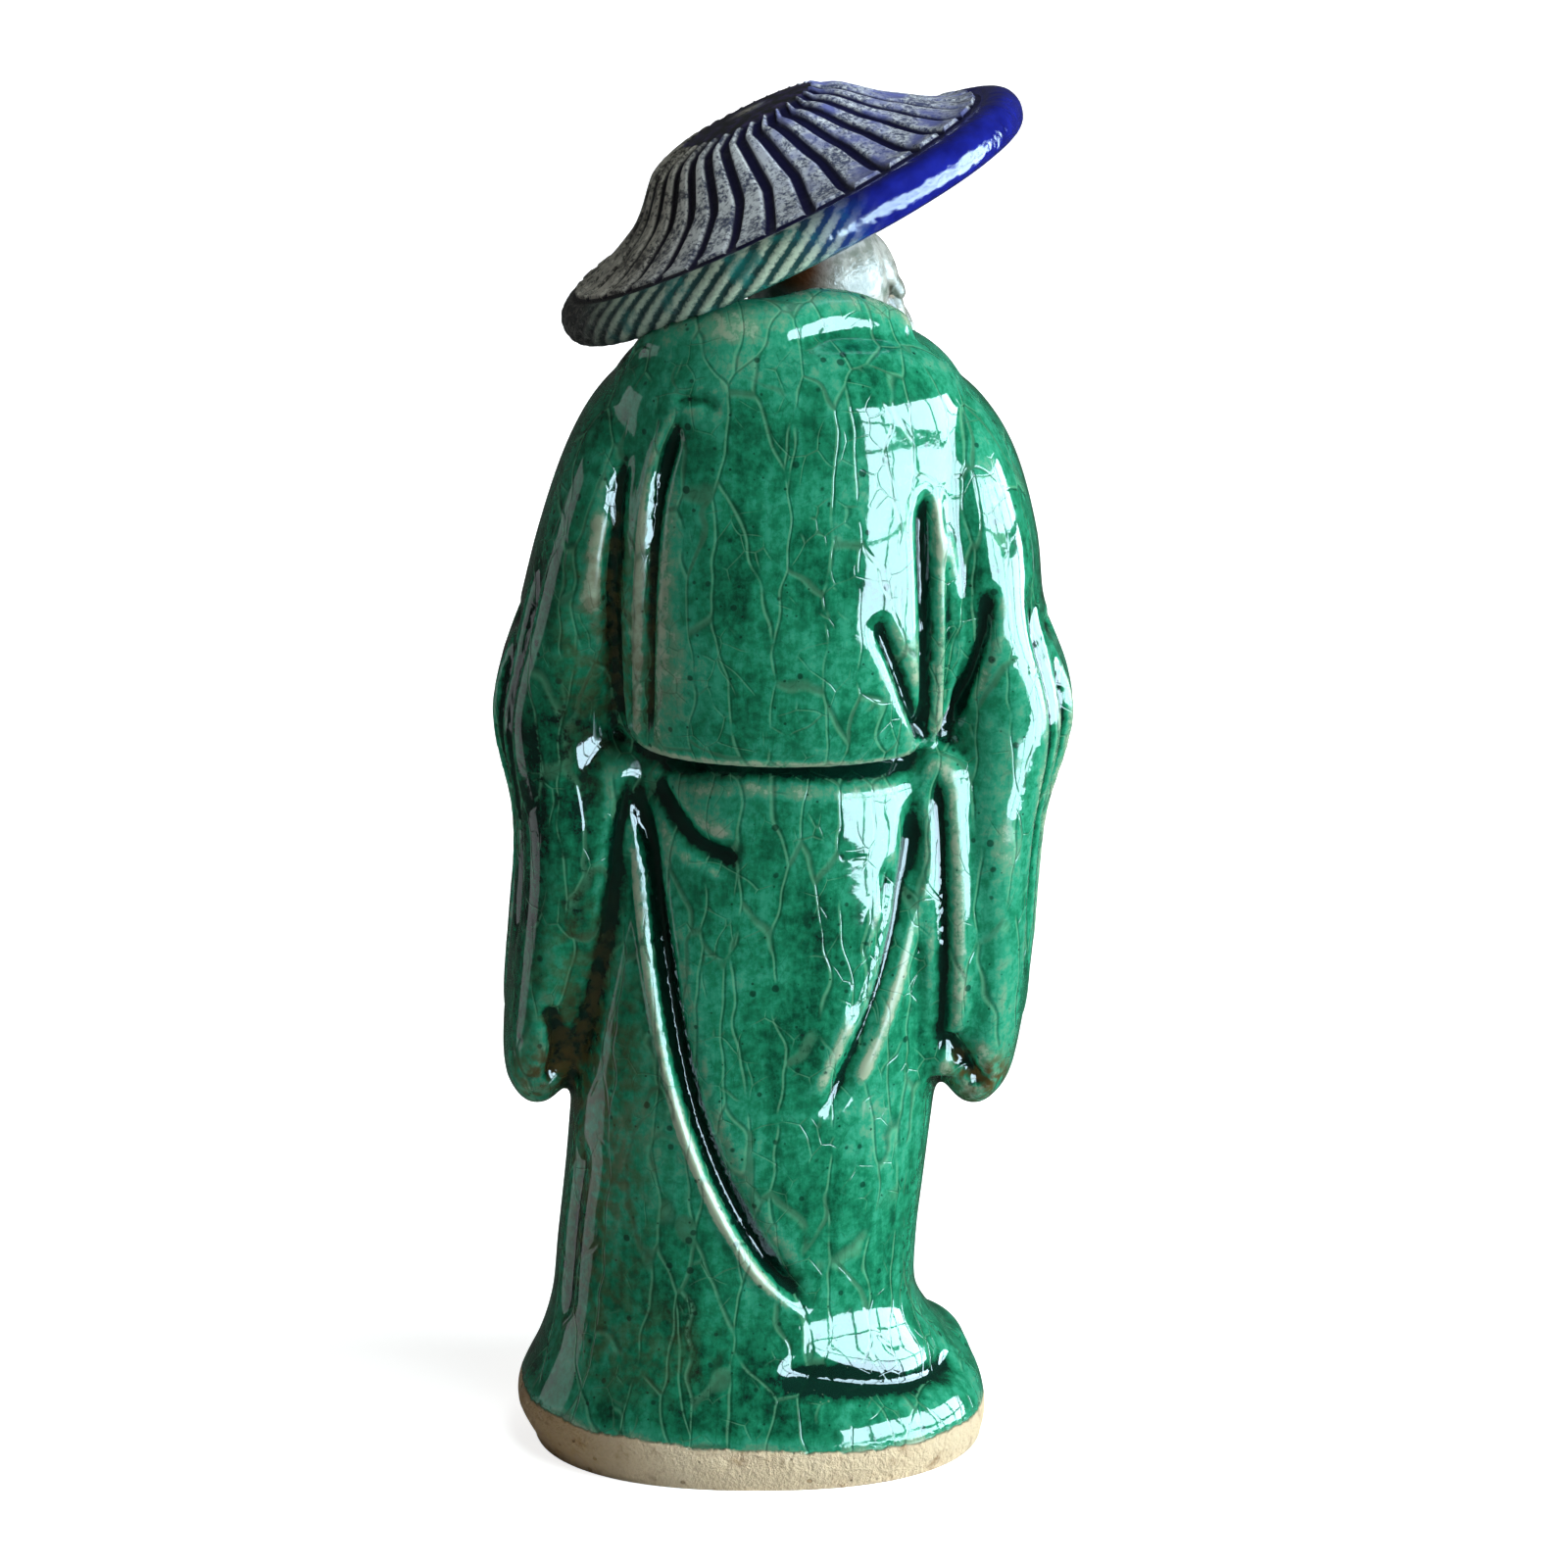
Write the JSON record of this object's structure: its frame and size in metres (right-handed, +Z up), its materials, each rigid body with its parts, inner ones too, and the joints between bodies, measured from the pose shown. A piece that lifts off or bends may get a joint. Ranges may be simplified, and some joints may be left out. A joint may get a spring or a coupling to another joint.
{
  "type": "mudman figurine",
  "caption": "Small glazed earthenware figurine of a standing old man in a long robe and a wide ribbed hat, on a flat unglazed foot.",
  "frame": {"origin": "middle of the flat unglazed foot, on the surface that the figure stands on", "axes": "+Z up from the foot to the hat, the figure faces -Y, its left hand is towards +X"},
  "size_m": [0.0383, 0.0379, 0.09],
  "materials": {
    "robe_glaze": "glossy crackled green lead glaze, darker where it pools and paler where it thins",
    "hat_glaze": "grey-lilac glaze worn on the raised ribs, navy in the grooves, cobalt on the rim",
    "head_glaze": "white glaze on beard and whiskers, bare buff clay on the face, brown hair",
    "bare_clay": "matt unglazed buff earthenware"
  },
  "bodies": {
    "root": {"figurine": "robe_glaze"}
  },
  "joints": []
}
